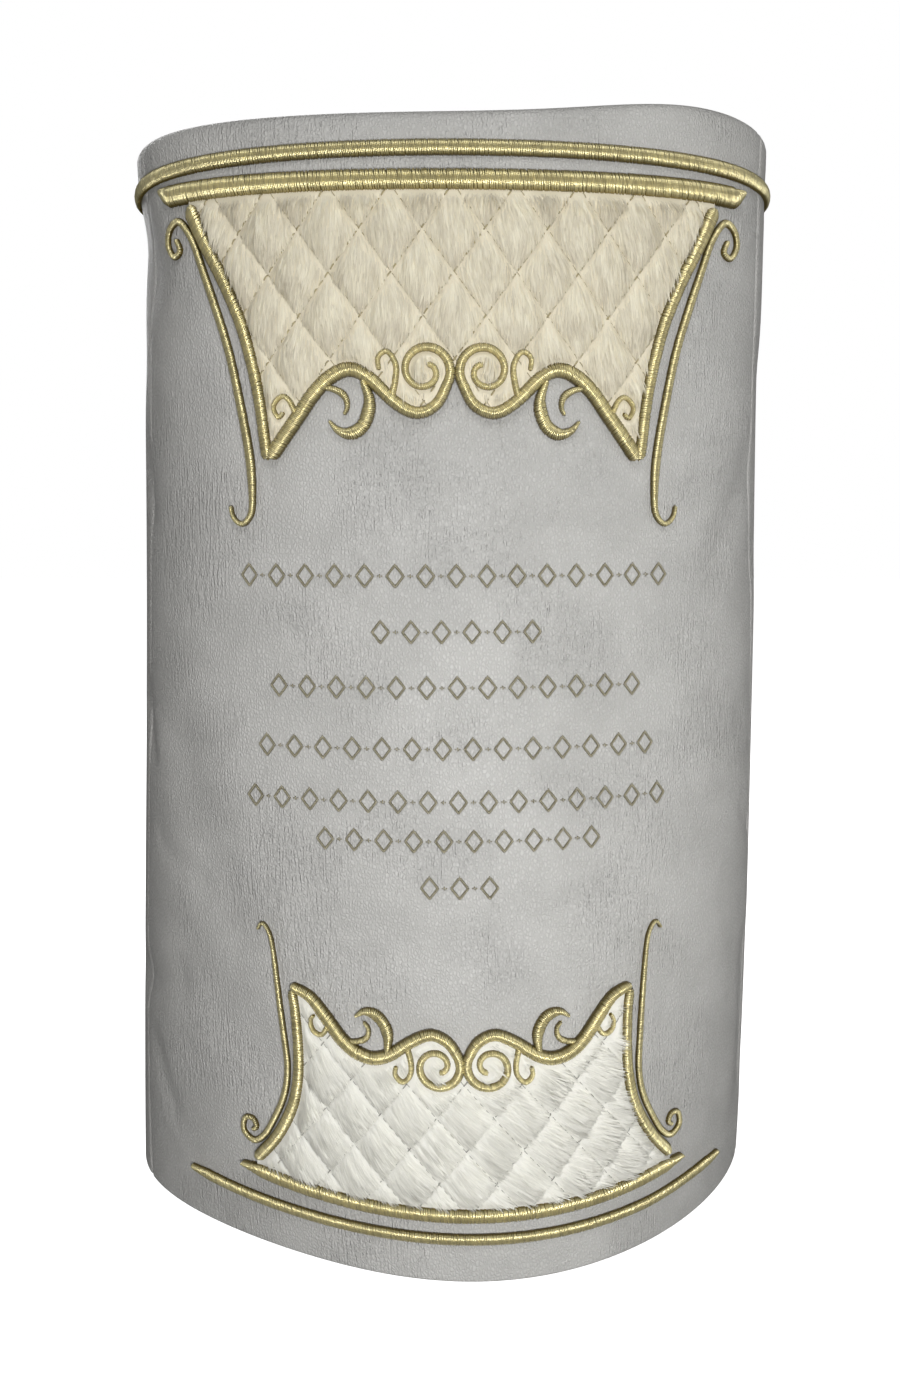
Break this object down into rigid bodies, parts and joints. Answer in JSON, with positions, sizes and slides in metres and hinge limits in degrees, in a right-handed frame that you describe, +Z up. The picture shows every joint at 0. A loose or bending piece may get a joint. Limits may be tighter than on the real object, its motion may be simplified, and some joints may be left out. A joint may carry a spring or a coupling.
{
  "type": "torah mantle",
  "caption": "Oval leather cover with a stiff top, roller holes and an open hem, quilted fur panels and raised gold scroll borders on its front.",
  "frame": {"origin": "on the level of the hem, under the middle of the whole part's box", "axes": "+Z up from the hem to the stiff top, the decorated front faces -Y, +X to the right as the front is seen"},
  "size_m": [0.3755, 0.2862, 0.6015],
  "materials": {
    "pearl_leather": "soft pebble grain, low sheen",
    "cream_fur": "short combed pile, quilted in diamonds",
    "white_fur": "short combed pile, quilted in diamonds",
    "gold_thread": "padded satin stitch with a metallic sheen"
  },
  "bodies": {
    "root": {"front_panel": "pearl_leather", "back_panel": "pearl_leather", "top_cap": "pearl_leather", "upper_quilt": "cream_fur", "lower_quilt": "white_fur", "top_band": "gold_thread", "heading_bar": "gold_thread", "upper_frame_left": "gold_thread", "upper_frame_right": "gold_thread", "upper_line_left": "gold_thread", "upper_line_right": "gold_thread", "lower_bar": "gold_thread", "lower_frame_left": "gold_thread", "lower_frame_right": "gold_thread", "lower_line_left": "gold_thread", "lower_line_right": "gold_thread", "hem_band": "gold_thread"}
  },
  "joints": []
}
